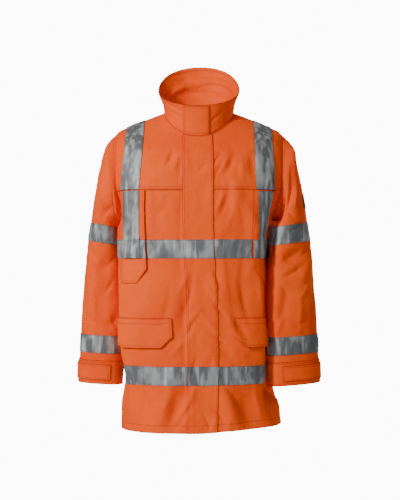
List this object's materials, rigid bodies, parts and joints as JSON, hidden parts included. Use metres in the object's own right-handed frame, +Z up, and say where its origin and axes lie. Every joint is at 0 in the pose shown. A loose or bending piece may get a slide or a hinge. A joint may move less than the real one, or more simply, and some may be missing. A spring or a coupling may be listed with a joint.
{
  "type": "high-visibility work jacket",
  "caption": "Hip-length orange work parka, filled out as worn: stand-up collar, storm flap over the zip, yoked fronts, pocket flaps, cuff tabs and reflective tape",
  "frame": {"origin": "midway between the two points where the shoulder lines meet the collar, where the wearer's neck and shoulders hold the jacket", "axes": "+Z up along the wearer's back, -Y the way the wearer faces, +X to the wearer's left"},
  "size_m": [0.6824, 0.2984, 1.0128],
  "materials": {
    "shell_cloth": "fluorescent orange coated twill, satin",
    "reflective_tape": "silver-grey glass-bead reflective tape, satin",
    "zip_tape": "orange woven zip tape",
    "label": "black woven patch, bare"
  },
  "bodies": {
    "root": {"back": "shell_cloth", "brace_left": "reflective_tape", "brace_right": "reflective_tape", "chest_brace_left": "reflective_tape", "chest_brace_right": "reflective_tape", "chest_flap_left": "shell_cloth", "chest_flap_right": "shell_cloth", "chest_tape_back": "reflective_tape", "chest_tape_flap_left": "reflective_tape", "chest_tape_flap_right": "reflective_tape", "chest_tape_front_left": "reflective_tape", "chest_tape_front_right": "reflective_tape", "chest_tape_side_left": "reflective_tape", "chest_tape_side_right": "reflective_tape", "chest_tape_storm_flap": "reflective_tape", "collar": "shell_cloth", "collar_flap": "shell_cloth", "cuff_left": "shell_cloth", "cuff_right": "shell_cloth", "cuff_tab_left": "shell_cloth", "cuff_tab_right": "shell_cloth", "front_left": "shell_cloth", "front_right": "shell_cloth", "hem_tape_back": "reflective_tape", "hem_tape_left": "reflective_tape", "hem_tape_right": "reflective_tape", "hem_tape_storm_flap": "reflective_tape", "hip_flap_left": "shell_cloth", "hip_flap_right": "shell_cloth", "sleeve_label": "label", "sleeve_left": "shell_cloth", "sleeve_right": "shell_cloth", "sleeve_tape_lower_left": "reflective_tape", "sleeve_tape_lower_right": "reflective_tape", "sleeve_tape_upper_left": "reflective_tape", "sleeve_tape_upper_right": "reflective_tape", "storm_flap": "shell_cloth", "yoke_left": "shell_cloth", "yoke_right": "shell_cloth", "zip": "zip_tape"}
  },
  "joints": []
}
